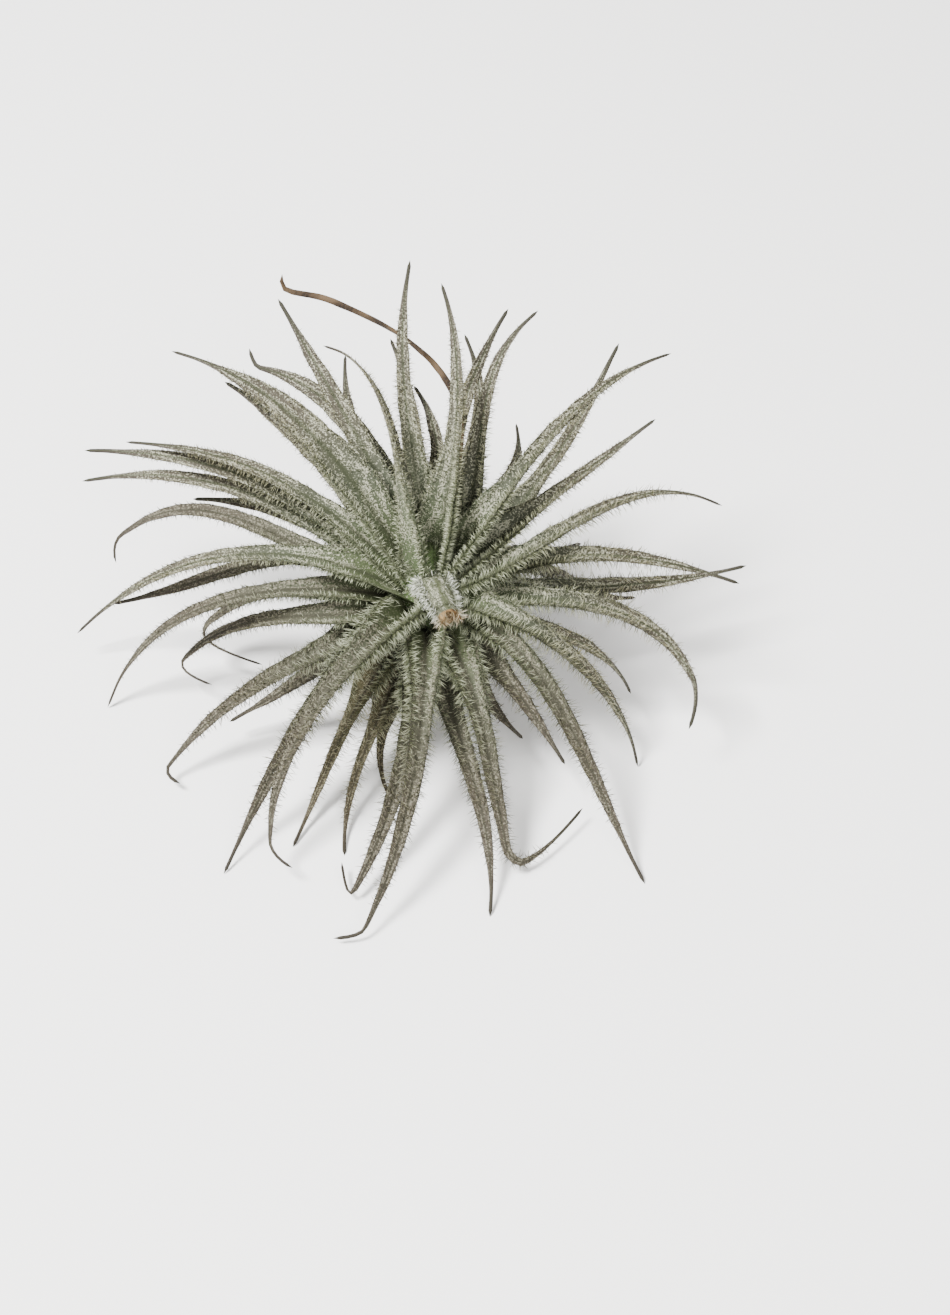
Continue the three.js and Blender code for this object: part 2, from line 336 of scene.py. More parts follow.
# How far along a blunt leaf its torn end starts, how ragged it is and how deep its pit goes.
tornEnd = {"start": 0.94, "full": 0.98, "face": 0.93, "ragged": 0.9 * mm, "pit": 1.6 * mm,
           "grain": 1.1 * mm}
# How much a hair in each coat bends over, and in how many joints.
hairBends = {"Fringe": {"joints": 2, "bend": 3.5}, "Nap": {"joints": 1, "bend": 0.0}}
# The two coats: the range of a hair's shade, and how far shade and place follow the rows.
coatLooks = {
    # the fringe takes only the two brighter shades, partly a painted bright outline
    "Fringe": {"duller": 1.0, "brighter": 2.9, "follows": 0.0, "bareness": 0.0, "seed": 3},
    "Nap": {"duller": -0.5, "brighter": 1.2, "follows": 1.2, "bareness": 0.75, "seed": 7},
}
hairBelly = 2.4              # fattens the middle of a hair
rootLength = 5 * mm          # over which a leaf widens out of the crown
floorClearance = 0.02 * mm


def makeLeafTree():
    tree = bpy.data.node_groups.new("fuzzyLeaf", "GeometryNodeTree")
    sockets = tree.interface.new_socket
    sockets("Geometry", in_out="OUTPUT", socket_type="NodeSocketGeometry")
    sockets("Geometry", in_out="INPUT", socket_type="NodeSocketGeometry")
    for label, value in leafSizes.items():
        kind = "NodeSocketInt" if isinstance(value, int) else "NodeSocketFloat"
        sockets(label, in_out="INPUT", socket_type=kind).default_value = value
    for label in ("Skin", "Hair", "Torn"):
        sockets(label, in_out="INPUT", socket_type="NodeSocketMaterial")
    add = partial(addNode, tree)
    given = add("NodeGroupInput").outputs

    # a smooth middle line through the leaf's points
    line = add("GeometryNodeMeshToCurve", [given["Geometry"]])
    line = add("GeometryNodeCurveSplineType", [line], spline_type="CATMULL_ROM")
    line = add("GeometryNodeSetSplineResolution", {"Geometry": line, "Resolution": 8})
    length = add("GeometryNodeCurveLength", [line])

    # a sheet to be rolled into the blade: x runs along the leaf, y runs round it
    sheet = add("GeometryNodeMeshGrid", [1.0, 1.0, given["Rings"], given["Sides"]])
    corner = add("ShaderNodeSeparateXYZ", [sheet.outputs["UV Map"]])
    mapX = add("ShaderNodeMath", [corner.outputs["Y"], bladeMap["wide"], bladeMap["margin"]],
               operation="MULTIPLY_ADD")
    mapY = add("ShaderNodeMath", [corner.outputs["X"], bladeMap["long"], bladeMap["margin"]],
               operation="MULTIPLY_ADD")
    mapped = add("ShaderNodeCombineXYZ", [mapX, mapY])
    shape = add("GeometryNodeStoreNamedAttribute",
                {"Geometry": sheet, "Name": "OFBake", "Value": mapped},
                data_type="FLOAT2", domain="CORNER")
    spot = add("ShaderNodeSeparateXYZ", [add("GeometryNodeInputPosition")])
    along = add("ShaderNodeMath", [spot.outputs["X"], 0.5], operation="ADD")
    around = add("ShaderNodeMath", [spot.outputs["Y"], 0.5], operation="ADD")
    turn = add("ShaderNodeMath", [around, 2 * math.pi], operation="MULTIPLY")
    sideways = add("ShaderNodeMath", [turn], operation="COSINE")
    upward = add("ShaderNodeMath", [turn], operation="SINE")
    edge = add("ShaderNodeMath", [sideways], operation="ABSOLUTE")

    # where the line is and which way the leaf faces there
    across = add("GeometryNodeInputNamedAttribute", ["across"], data_type="FLOAT_VECTOR")
    here = add("GeometryNodeSampleCurve", [line, across, along],
               data_type="FLOAT_VECTOR", mode="FACTOR")
    ahead = here.outputs["Tangent"]
    face = add("ShaderNodeVectorMath", [here, ahead], operation="CROSS_PRODUCT")
    spin = add("ShaderNodeMath", [given["Twist"], along], operation="MULTIPLY")
    face = add("ShaderNodeVectorRotate", {"Vector": face, "Axis": ahead, "Angle": spin})
    face = add("ShaderNodeVectorMath", [face], operation="NORMALIZE")
    side = add("ShaderNodeVectorMath", [ahead, face], operation="CROSS_PRODUCT")

    # width: a wrapping sheath, then the blade, then a thread
    reach = add("ShaderNodeMath", [along, length], operation="MULTIPLY")
    start = add("ShaderNodeMath", [given["Sheath length"], 0.3], operation="MULTIPLY")
    sheath = add("ShaderNodeMapRange", [reach, start, given["Sheath length"], 1.0, 0.0],
                 interpolation_type="SMOOTHSTEP")
    outline = add("ShaderNodeFloatCurve", {"Value": along})
    points = outline.mapping.curves[0].points
    for point, location in zip(points, taperEnds):
        point.location = location
    for location in taperPoints:
        points.new(*location)
    outline.mapping.update()
    taper = add("ShaderNodeMath", [outline, given["Slimness"]], operation="POWER")
    taper = add("ShaderNodeMix", [given["Blunt"], taper, 1.0], data_type="FLOAT")
    wide = add("ShaderNodeMix", [taper, given["Tip width"], given["Blade width"]],
               data_type="FLOAT")
    wide = add("ShaderNodeMix", [sheath, wide, given["Sheath width"]], data_type="FLOAT")
    root = add("ShaderNodeMapRange", [reach, 0.0, rootLength, 0.25, 0.5])
    half = add("ShaderNodeMath", [wide, root], operation="MULTIPLY")
    rippleSpot = add("ShaderNodeCombineXYZ", [reach, spot.outputs["Y"], given["Seed"]])
    ripple = add("ShaderNodeTexNoise", {
        "Vector": add("ShaderNodeVectorMath", [rippleSpot, (1 / (3.5 * mm), 1.5, 1.0)],
                      operation="MULTIPLY"), "Scale": 1.0, "Detail": 1.0})
    ripple = add("ShaderNodeMath", [ripple, 0.5], operation="SUBTRACT")
    ripple = add("ShaderNodeMath", [ripple, given["Ripple"]], operation="MULTIPLY")
    ripple = add("ShaderNodeMath", [ripple, 2.0, 1.0], operation="MULTIPLY_ADD")
    half = add("ShaderNodeMath", [half, ripple], operation="MULTIPLY")
    thick = add("ShaderNodeMix", [along, given["Base thickness"], given["Tip thickness"]],
                data_type="FLOAT")

    # cross-section: a thin crescent whose edges rise on the upper side
    dip = add("ShaderNodeMath", [edge, 1.6], operation="POWER")
    dip = add("ShaderNodeMath", [dip, 0.35], operation="SUBTRACT")
    curl = add("ShaderNodeMath", [sheath, 0.35, taper], operation="MULTIPLY_ADD")
    depth = add("ShaderNodeMath", [curl, given["Channel"]], operation="MULTIPLY")
    depth = add("ShaderNodeMath", [depth, half], operation="MULTIPLY")
    flesh = add("ShaderNodeMath", [edge, -0.25, 0.5], operation="MULTIPLY_ADD")
    flesh = add("ShaderNodeMath", [flesh, thick], operation="MULTIPLY")
    flesh = add("ShaderNodeMath", [flesh, upward], operation="MULTIPLY")
    rise = add("ShaderNodeMath", [dip, depth, flesh], operation="MULTIPLY_ADD")
    spread = add("ShaderNodeMath", [sideways, half], operation="MULTIPLY")
    opened = add("ShaderNodeMath", [along, 0.0005], operation="GREATER_THAN")
    unended = add("ShaderNodeMath", [along, 0.9995], operation="LESS_THAN")
    whole = add("ShaderNodeMath", [opened, unended], operation="MULTIPLY")
    spread = add("ShaderNodeMath", [spread, whole], operation="MULTIPLY")
    rise = add("ShaderNodeMath", [rise, whole], operation="MULTIPLY")

    # a slow wander off the line, different in every leaf
    far = add("ShaderNodeCombineXYZ", [reach, given["Seed"]])
    sway = add("ShaderNodeTexNoise", {"Vector": far, "Scale": 1 / (14 * mm), "Detail": 1.0})
    sway = add("ShaderNodeVectorMath", [sway.outputs["Color"], (0.5, 0.5, 0.5)],
               operation="SUBTRACT")
    loose = add("ShaderNodeMath", [given["Wander"], along], operation="MULTIPLY")
    sway = add("ShaderNodeVectorMath", {"Vector": sway, "Scale": loose}, operation="SCALE")
    place = add("ShaderNodeVectorMath", {"Vector": side, "Scale": spread}, operation="SCALE")
    lift = add("ShaderNodeVectorMath", {"Vector": face, "Scale": rise}, operation="SCALE")
    place = add("ShaderNodeVectorMath", [place, lift], operation="ADD")
    place = add("ShaderNodeVectorMath", [place, here.outputs["Position"]], operation="ADD")
    place = add("ShaderNodeVectorMath", [place, sway], operation="ADD")

    # a blunt end is torn: uneven along the leaf, and hollow in the middle
    last = add("ShaderNodeMapRange", [along, tornEnd["start"], tornEnd["full"], 0.0,
                                      given["Blunt"]])
    tear = add("ShaderNodeTexNoise",
               {"Vector": place, "Scale": 1 / tornEnd["grain"], "Detail": 1.0})
    tear = add("ShaderNodeMapRange", [tear, 0.3, 0.7, -tornEnd["ragged"], tornEnd["ragged"]])
    pit = add("ShaderNodeMapRange", [along, 0.999, 1.0, 0.0, -tornEnd["pit"]])
    tear = add("ShaderNodeMath", [tear, pit], operation="ADD")
    tear = add("ShaderNodeMath", [tear, last], operation="MULTIPLY")
    tear = add("ShaderNodeVectorMath", {"Vector": ahead, "Scale": tear}, operation="SCALE")
    place = add("ShaderNodeVectorMath", [place, tear], operation="ADD")

    for label, value, kind in (("along", along, "FLOAT"), ("edge", edge, "FLOAT"),
                               ("reach", reach, "FLOAT"), ("ahead", ahead, "FLOAT_VECTOR")):
        shape = add("GeometryNodeStoreNamedAttribute",
                    {"Geometry": shape, "Name": label, "Value": value},
                    data_type=kind, domain="POINT")
    blade = add("GeometryNodeSetPosition", {"Geometry": shape, "Position": place})
    blade = add("GeometryNodeMergeByDistance", {"Geometry": blade, "Distance": 1e-6})

    # one hair: a three-sided spike one unit long, bent in the long coat and straight in the nap
    spikes = {}
    for label, form in hairBends.items():
        spike = add("GeometryNodeMeshCone", {
            "Vertices": 3, "Side Segments": form["joints"], "Radius Top": 0.0,
            "Radius Bottom": 1.0, "Depth": 1.0})
        inSpike = add("ShaderNodeSeparateXYZ", [add("GeometryNodeInputPosition")])
        up = inSpike.outputs["Z"]
        mapX = add("ShaderNodeMath", [up, 0.75 * hairStrip[1], hairStrip[0]],
                   operation="MULTIPLY_ADD")
        mapY = add("ShaderNodeMath", [inSpike.outputs["Y"], 0.008], operation="MULTIPLY")
        hairMap = add("ShaderNodeCombineXYZ", [mapX, mapY])
        spike = add("GeometryNodeStoreNamedAttribute",
                    {"Geometry": spike, "Name": "hairMap", "Value": hairMap},
                    data_type="FLOAT_VECTOR", domain="CORNER")
        bend = add("ShaderNodeMath", [up, 2.0], operation="POWER")
        bend = add("ShaderNodeMath", [bend, form["bend"]], operation="MULTIPLY")
        belly = add("ShaderNodeMath", [1.0, up], operation="SUBTRACT")
        belly = add("ShaderNodeMath", [belly, up], operation="MULTIPLY")
        belly = add("ShaderNodeMath", [belly, hairBelly], operation="MULTIPLY")
        fatX = add("ShaderNodeMath", [inSpike.outputs["X"], belly, bend],
                   operation="MULTIPLY_ADD")
        fatY = add("ShaderNodeMath", [inSpike.outputs["Y"], belly], operation="MULTIPLY")
        offset = add("ShaderNodeCombineXYZ", [fatX, fatY])
        spikes[label] = add("GeometryNodeSetPosition", {"Geometry": spike, "Offset": offset})

    # two coats: long hairs, mostly along the edges, and a short nap in rows
    alongHere = add("GeometryNodeInputNamedAttribute", ["along"], data_type="FLOAT")
    edgeHere = add("GeometryNodeInputNamedAttribute", ["edge"], data_type="FLOAT")
    aheadHere = add("GeometryNodeInputNamedAttribute", ["ahead"], data_type="FLOAT_VECTOR")
    reachHere = add("GeometryNodeInputNamedAttribute", ["reach"], data_type="FLOAT")
    grown = add("ShaderNodeMath", [reachHere, given["Bare root"]], operation="SUBTRACT")
    grown = add("ShaderNodeMapRange", [grown, -1.5 * mm, 1.5 * mm, 0.0, 1.0])
    bald = add("ShaderNodeMapRange", [alongHere, 0.80, 0.91, 1.0, given["Hair at tip"]])
    cover = add("ShaderNodeMath", [grown, bald], operation="MULTIPLY")
    outer = add("ShaderNodeMapRange", [edgeHere, 0.88, 0.985, 0.02, 1.0])
    shorter = add("ShaderNodeMapRange", [alongHere, 0.6, 0.95, 1.0, 0.4])
    shorter = add("ShaderNodeMath", [shorter, given["Hair at tip"]], operation="MAXIMUM")
    inner = add("ShaderNodeMapRange", [edgeHere, 0.05, 0.6, 0.2, 1.0])
    mappedHere = add("GeometryNodeInputNamedAttribute", ["OFBake"], data_type="FLOAT_VECTOR")
    rows = drawRows(add, mappedHere, add("GeometryNodeInputPosition"))
    rows = add("ShaderNodeMath", [rows, given["Furrows"]], operation="MULTIPLY")
    ridge = add("ShaderNodeMath", [1.0, given["Furrows"]], operation="SUBTRACT")
    rows = add("ShaderNodeMath", [rows, ridge], operation="ADD")
    coats = []
    for label, share, flat, scatter in (
            ("Fringe", outer, 0.3, 0.5),
            ("Nap", inner, given["Nap lean"], given["Nap scatter"])):
        coat = coatLooks[label]
        amount = add("ShaderNodeMath", [cover, given[label + " per square metre"]],
                     operation="MULTIPLY")
        amount = add("ShaderNodeMath", [amount, share], operation="MULTIPLY")
        drawn = add("ShaderNodeMath", [given["Seed"], coat["seed"]], operation="ADD")
        hairs = add("GeometryNodeDistributePointsOnFaces",
                    {"Mesh": blade, "Density": amount, "Seed": drawn},
                    distribute_method="RANDOM")
        normal = hairs.outputs["Normal"]
        loose = add("FunctionNodeRandomValue", {
            "Min": (-1.0,) * 3, "Max": (1.0,) * 3, "Seed": drawn}, data_type="FLOAT_VECTOR")
        loose = add("ShaderNodeVectorMath", {"Vector": loose, "Scale": scatter}, operation="SCALE")
        lean = add("ShaderNodeVectorMath", {"Vector": aheadHere, "Scale": flat}, operation="SCALE")
        aim = add("ShaderNodeVectorMath", [normal, loose], operation="ADD")
        aim = add("ShaderNodeVectorMath", [aim, lean], operation="ADD")
        roll = add("FunctionNodeRandomValue", {"Min": 0.0, "Max": 2 * math.pi, "Seed": drawn},
                   data_type="FLOAT")
        roll = add("FunctionNodeAxisAngleToRotation", [(0, 0, 1), roll])
        aim = add("FunctionNodeAlignRotationToVector", [roll, 1.0, aim], axis="Z")
        long = add("FunctionNodeRandomValue", {"Min": 0.55, "Max": 1.25, "Seed": drawn},
                   data_type="FLOAT")
        long = add("ShaderNodeMath", [long, given[label + " length"]], operation="MULTIPLY")
        long = add("ShaderNodeMath", [long, shorter], operation="MULTIPLY")
        width = given[label + " width"]
        size = add("ShaderNodeCombineXYZ", [width, width, long])
        # the hairs on the rows are brighter, partly a painted highlight, and few grow in the
        # furrows
        shade = add("FunctionNodeRandomValue", {
            "Min": coat["duller"], "Max": coat["brighter"], "Seed": drawn}, data_type="FLOAT")
        shade = add("ShaderNodeMath", [rows, coat["follows"], shade], operation="MULTIPLY_ADD")
        shade = add("ShaderNodeClamp", [shade, 0.0, hairShades - 0.1])
        shade = add("ShaderNodeMath", [shade], operation="FLOOR")
        shade = add("ShaderNodeMath", [shade, hairStrip[1]], operation="MULTIPLY")
        grows = add("FunctionNodeRandomValue", {
            "Min": 0.0, "Max": coat["bareness"], "Seed": drawn}, data_type="FLOAT")
        grows = add("FunctionNodeCompare", [rows, grows], operation="GREATER_EQUAL")
        hairs = add("GeometryNodeStoreNamedAttribute",
                    {"Geometry": hairs, "Name": "shade", "Value": shade},
                    data_type="FLOAT", domain="POINT")
        coats.append(add("GeometryNodeInstanceOnPoints", {
            "Points": hairs, "Selection": grows, "Instance": spikes[label], "Rotation": aim,
            "Scale": size}))
    hair = add("GeometryNodeRealizeInstances", [add("GeometryNodeJoinGeometry", [coats])])
    shade = add("GeometryNodeInputNamedAttribute", ["shade"], data_type="FLOAT")
    root = add("ShaderNodeCombineXYZ", [shade, alongHere])
    tuft = add("GeometryNodeInputNamedAttribute", ["hairMap"], data_type="FLOAT_VECTOR")
    hairMap = add("ShaderNodeVectorMath", [tuft, root], operation="ADD")
    hair = add("GeometryNodeStoreNamedAttribute",
               {"Geometry": hair, "Name": "OFBake", "Value": hairMap},
               data_type="FLOAT2", domain="CORNER")
    hair = add("GeometryNodeStoreNamedAttribute",
               {"Geometry": hair, "Name": "hair", "Value": True},
               data_type="BOOLEAN", domain="FACE")

    # nothing goes through the surface that the plant stands on
    leaf = add("GeometryNodeJoinGeometry", [[blade, hair]])
    spot = add("ShaderNodeSeparateXYZ", [add("GeometryNodeInputPosition")])
    lowest = add("ShaderNodeMath", [spot.outputs["Z"], floorClearance], operation="MAXIMUM")
    raised = add("ShaderNodeCombineXYZ", [spot.outputs["X"], spot.outputs["Y"], lowest])
    leaf = add("GeometryNodeSetPosition", {"Geometry": leaf, "Position": raised})
    leaf = add("GeometryNodeSetShadeSmooth", {"Geometry": leaf, "Shade Smooth": True})
    leaf = add("GeometryNodeRealizeInstances", [leaf])
    leaf = add("GeometryNodeSetMaterial", {"Geometry": leaf, "Material": given["Skin"]})
    ragged = add("ShaderNodeMath", [given["Blunt"], 0.5], operation="GREATER_THAN")
    ragged = add("ShaderNodeMath", [ragged, alongHere], operation="MULTIPLY")
    ragged = add("FunctionNodeCompare", [ragged, tornEnd["face"]], operation="GREATER_THAN")
    leaf = add("GeometryNodeSetMaterial", {"Geometry": leaf, "Selection": ragged,
                                           "Material": given["Torn"]})
    isHair = add("GeometryNodeInputNamedAttribute", ["hair"], data_type="BOOLEAN")
    leaf = add("GeometryNodeSetMaterial", {"Geometry": leaf, "Selection": isHair,
                                           "Material": given["Hair"]})
    add("NodeGroupOutput", [leaf])
    return tree


def readLine(node):
    # the middle of each ring of the solid, from the crown out to the tip
    mesh = bmesh.new()
    mesh.from_mesh(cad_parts[node].data)
    bmesh.ops.remove_doubles(mesh, verts=mesh.verts, dist=0.002 * mm)
    mesh.verts.index_update()
    inner = min(mesh.verts, key=lambda v: (v.co - crown).length)
    tip = max(ringsFrom(inner)[-1], key=lambda v: len(v.link_edges))
    rings = ringsFrom(tip)
    line = [sum((v.co for v in ring), Vector()) / len(ring) for ring in reversed(rings)]
    mesh.free()
    return line


def ringsFrom(vertex):
    rings, seen = [[vertex]], {vertex}
    while True:
        near = {e.other_vert(v) for v in rings[-1] for e in v.link_edges} - seen
        if not near:
            return rings
        seen |= near
        rings.append(sorted(near, key=lambda v: v.index))


def spineObject(name, line):
    # the line runs on inwards to the stem, lower down for the lower leaves
    start = (line[0] - crown).normalized()
    root = crown + Vector((0, 0, (5 * start.z - 5) * mm))
    line = [root.lerp(line[0], share) for share in (0.25, 0.6)] + line
    mesh = bpy.data.meshes.new(name)
    mesh.from_pydata(line, [(i, i + 1) for i in range(len(line) - 1)], [])
    side = start.cross(Vector((0, 0, 1))).normalized()
    sides = []
    for i, point in enumerate(line):
        ahead = (line[min(i + 1, len(line) - 1)] - line[max(i - 1, 0)]).normalized()
        side = (side - ahead * side.dot(ahead)).normalized()
        sides.extend(side)
    mesh.attributes.new("across", "FLOAT_VECTOR", "POINT").data.foreach_set("vector", sides)
    spine = bpy.data.objects.new(name, mesh)
    scene.collection.objects.link(spine)
    return spine


def grow(spine, tree, values):
    # runs the node tree over the line and keeps its result as a plain mesh
    modifier = spine.modifiers.new("grow", "NODES")
    modifier.node_group = tree
    for socket in tree.interface.items_tree:
        if socket.in_out == "INPUT" and socket.name in values:
            modifier[socket.identifier] = values[socket.name]
    bpy.context.view_layer.update()
    graph = bpy.context.evaluated_depsgraph_get()
    mesh = bpy.data.meshes.new_from_object(
        spine.evaluated_get(graph), preserve_all_data_layers=True, depsgraph=graph)
    line = spine.data
    spine.modifiers.remove(modifier)
    spine.data = mesh
    bpy.data.meshes.remove(line)
    mesh.name = spine.name
    while None in list(mesh.materials):
        mesh.materials.pop(index=list(mesh.materials).index(None))
    for label in ("along", "edge", "reach", "ahead", "hair", "hairMap", "shade", "across", "id"):
        if label in mesh.attributes:
            mesh.attributes.remove(mesh.attributes[label])
    return spine


def facesOf(piece):
    return sum(len(face.vertices) - 2 for face in piece.data.polygons)


# How the leaves of each side of the plant differ.
tierLooks = {
    "back": {"Fringe length": 1.1 * mm, "Nap length": 0.55 * mm, "Sheath width": 7.6 * mm,
             "Sheath length": 26 * mm, "Bare root": 3.5 * mm},
    "left": {"Fringe length": 1.0 * mm, "Nap length": 0.5 * mm, "Blade width": 3.2 * mm,
             "Sheath width": 5.8 * mm, "Sheath length": 24 * mm, "Channel": 0.45},
    "front": {"Fringe length": 1.7 * mm, "Nap length": 0.6 * mm, "Blade width": 3.3 * mm,
              "Sheath width": 6.0 * mm, "Sheath length": 22 * mm, "Bare root": 8.5 * mm,
              "Slimness": 1.4},
    "right": {"Fringe length": 1.7 * mm, "Nap length": 0.6 * mm, "Blade width": 3.2 * mm,
              "Sheath width": 5.6 * mm, "Slimness": 1.4},
    "under": {"Fringe length": 1.4 * mm, "Nap length": 0.55 * mm},
}
ownLooks = {
    "leaf_left_02": {"Blade width": 3.7 * mm},
    "leaf_left_03": {"Blade width": 4.2 * mm},
    "leaf_left_04": {"Blade width": 7.4 * mm, "Slimness": 1.7},
    "leaf_left_05": {"Blade width": 4.6 * mm},
    "leaf_left_09": {"Bare root": 10 * mm},
    "leaf_left_10": {"Bare root": 10 * mm},
    "leaf_left_11": {"Sheath width": 7.2 * mm, "Bare root": 12 * mm},
    "leaf_left_13": {"Bare root": 11 * mm},
    "leaf_left_14": {"Slimness": 1.2, "Bare root": 11 * mm},
    "leaf_left_15": {"Slimness": 1.2, "Bare root": 11 * mm},
    "leaf_front_04": {"Sheath width": 6.4 * mm, "Bare root": 7 * mm},
    "leaf_front_05": {"Blade width": 2.4 * mm},
    "leaf_front_06": {"Blade width": 2.2 * mm},
    "leaf_front_07": {"Blade width": 2.2 * mm},
    "leaf_front_11": {"Slimness": 2.3},
    "leaf_right_02": {"Bare root": 12 * mm},
    "leaf_right_03": {"Bare root": 10 * mm},
    "leaf_right_05": {"Bare root": 11 * mm},
    "leaf_broken": {"Blunt": 0.8, "Furrows": 0.7, "Blade width": 3.8 * mm, "Sheath width": 4.6 * mm,
                    "Base thickness": 3.0 * mm, "Tip thickness": 3.0 * mm, "Channel": 0.1,
                    "Fringe length": 1.5 * mm, "Nap length": 1.15 * mm, "Nap lean": 2.2,
                    "Nap scatter": 0.40, "Nap width": 0.040 * mm,
                    "Nap per square metre": 1.2e7, "Bare root": 3 * mm,
                    "Hair at tip": 1.0, "Skin": makeSkin("brokenLeafSkin", brokenSkin),
                    "Hair": stubHairPaint,
                    "Torn": makeBark("tornLeafFibre", tornFibre)},
}
stubOverhang = Vector((0.9, -2.0, -0.3)) * mm   # the torn end hangs over a little
youngLeaves = ("leaf_back_01", "leaf_back_02", "leaf_back_10")
oldLeaves = ("leaf_front_05", "leaf_front_06", "leaf_front_07")
# the leaves low down, which take the skin and hair copies with painted shade
shadedLowerLeaves = ("leaf_front", "leaf_under", "leaf_left_10", "leaf_left_12", "leaf_left_13",
               "leaf_left_14", "leaf_left_15", "leaf_right_01", "leaf_right_02", "leaf_right_03")


twistSeed = 11
looseTwist = 0.4
sideTurn = 0.8               # side leaves turn their groove forwards


def growLeaves(tree):
    chance = random.Random(twistSeed)
    total = 0
    names = [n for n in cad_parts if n.startswith("leaf_") and n != "leaf_withered"]
    for number, node in enumerate(sorted(names)):
        tier = node.split("_")[1]
        age = "young_leaf" if node in youngLeaves else "old_leaf" if node in oldLeaves else "leaf"
        line = readLine(node)
        facing = sideTurn * (line[0] - crown).normalized().x
        values = {"Seed": 10 * number, "Twist": chance.uniform(-looseTwist, looseTwist) + facing,
                  "Skin": skins[age], "Hair": hairPaint}
        # the leaves low down get the skin and hair with painted shade
        if age == "leaf" and node.startswith(shadedLowerLeaves):
            values.update({"Skin": skins["shaded_lower_leaf"], "Hair": shadedLowerHairPaint})
        values.update(tierLooks.get(tier, {}))
        values.update(ownLooks.get(node, {}))
        if node == "leaf_broken":
            line.append(line[-1] + stubOverhang)
        piece = spineObject(node.replace("leaf", "fuzzyLeaf"), line)
        grow(piece, tree, values)
        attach(piece, "root")
        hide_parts(node)
        total += facesOf(piece)
    print(len(names), "leaves grown,", total, "triangles")


# The heart of the rosette: a hairy green bulb where the bases of all the leaves meet.
heartSizes = {
    "Blade width": 11.2 * mm,
    "Sheath width": 10.5 * mm,
    "Sheath length": 6 * mm,
    "Tip width": 2.0 * mm,
    "Base thickness": 12 * mm,
    "Tip thickness": 9 * mm,
    "Channel": 0.0,
    "Slimness": 0.45,
    "Wander": 0.0,
    "Fringe length": 1.0 * mm,
    "Nap length": 0.9 * mm,
    "Nap per square metre": 1.1e7,
    "Furrows": 0.3,
    "Bare root": 4 * mm,
    "Hair at tip": 1.0,
    "Seed": 950,
    "Skin": makeSkin("heartLeafSkin", heartSkin),
    "Hair": makeHair("heartLeafHair", heartHair),
}
heartLine = [Vector(p) * mm for p in ((0, 0, 11), (0, 0, 18), (0.2, 1.2, 24), (0.4, 3.2, 30))]


def growHeart(tree):
    mesh = bpy.data.meshes.new("fuzzyHeart")
    mesh.from_pydata(heartLine, [(i, i + 1) for i in range(len(heartLine) - 1)], [])
    mesh.attributes.new("across", "FLOAT_VECTOR", "POINT").data.foreach_set(
        "vector", (1.0, 0.0, 0.0) * len(heartLine))
    heart = bpy.data.objects.new("fuzzyHeart", mesh)
    scene.collection.objects.link(heart)
    grow(heart, tree, heartSizes)
    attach(heart, "root")
    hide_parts("stem")
    print("heart grown,", facesOf(heart), "triangles")


leafTree = makeLeafTree()
growLeaves(leafTree)
growHeart(leafTree)


# The withered leaf: a hairless strand, twisted as it dried.
witheredSizes = {
    "Blade width": 1.1 * mm,
    "Sheath width": 1.3 * mm,
    "Tip width": 1.0 * mm,
    "Base thickness": 0.60 * mm,
    "Tip thickness": 0.75 * mm,
    "Channel": 0.9,
    "Twist": 7.0,
    "Wander": 1.6 * mm,
    "Fringe per square metre": 0.0,
    "Nap per square metre": 0.0,
    "Seed": 900,
    "Skin": makeBark("witheredLeafPaper", witheredPaper),
}


strandBow = Vector((4.4, 0.8, 0.8)) * mm     # it sags sideways behind the middle leaves
strandHook = Vector((-0.3, 0.9, 2.4)) * mm    # and its end turns up


def growStrand(tree):
    line = readLine("leaf_withered")
    for i, point in enumerate(line[:-2]):
        point += strandBow * math.sin(math.pi * i / (len(line) - 2)) ** 2
    line.append(line[-1] + strandHook)
    strand = spineObject("witheredStrand", line)
    grow(strand, tree, witheredSizes)
    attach(strand, "root")
    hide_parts("leaf_withered")
    print("withered strand grown,", facesOf(strand), "triangles")


growStrand(leafTree)


# The stem. A user of the model would change these.
stemSizes = {
    "Scales": 54,
    "Scale width": 5.2 * mm,
    "Scale height": 7.0 * mm,
    "Scale thickness": 0.60 * mm,
    "Scale lift": 2.2 * mm,
    "Lowest scale": 1.6 * mm,
    "Highest scale": 15.0 * mm,
    "Foot radius": 3.6 * mm,
    "Neck radius": 4.4 * mm,
    "Seed": 5,
}
# radius and height of the core, from the flat cut end up into the crown
coreProfile = [(0, 0), (2.6, 0), (3.25, 0.4), (3.4, 3), (3.7, 8), (3.9, 13), (3.5, 16),
               (2.4, 18.5), (1.2, 19.6), (0, 20)]


goldenAngle = math.radians(137.5)
bumpGrain = 1.6 * mm         # of the ragged surface
bumpHeight = 1.3 * mm


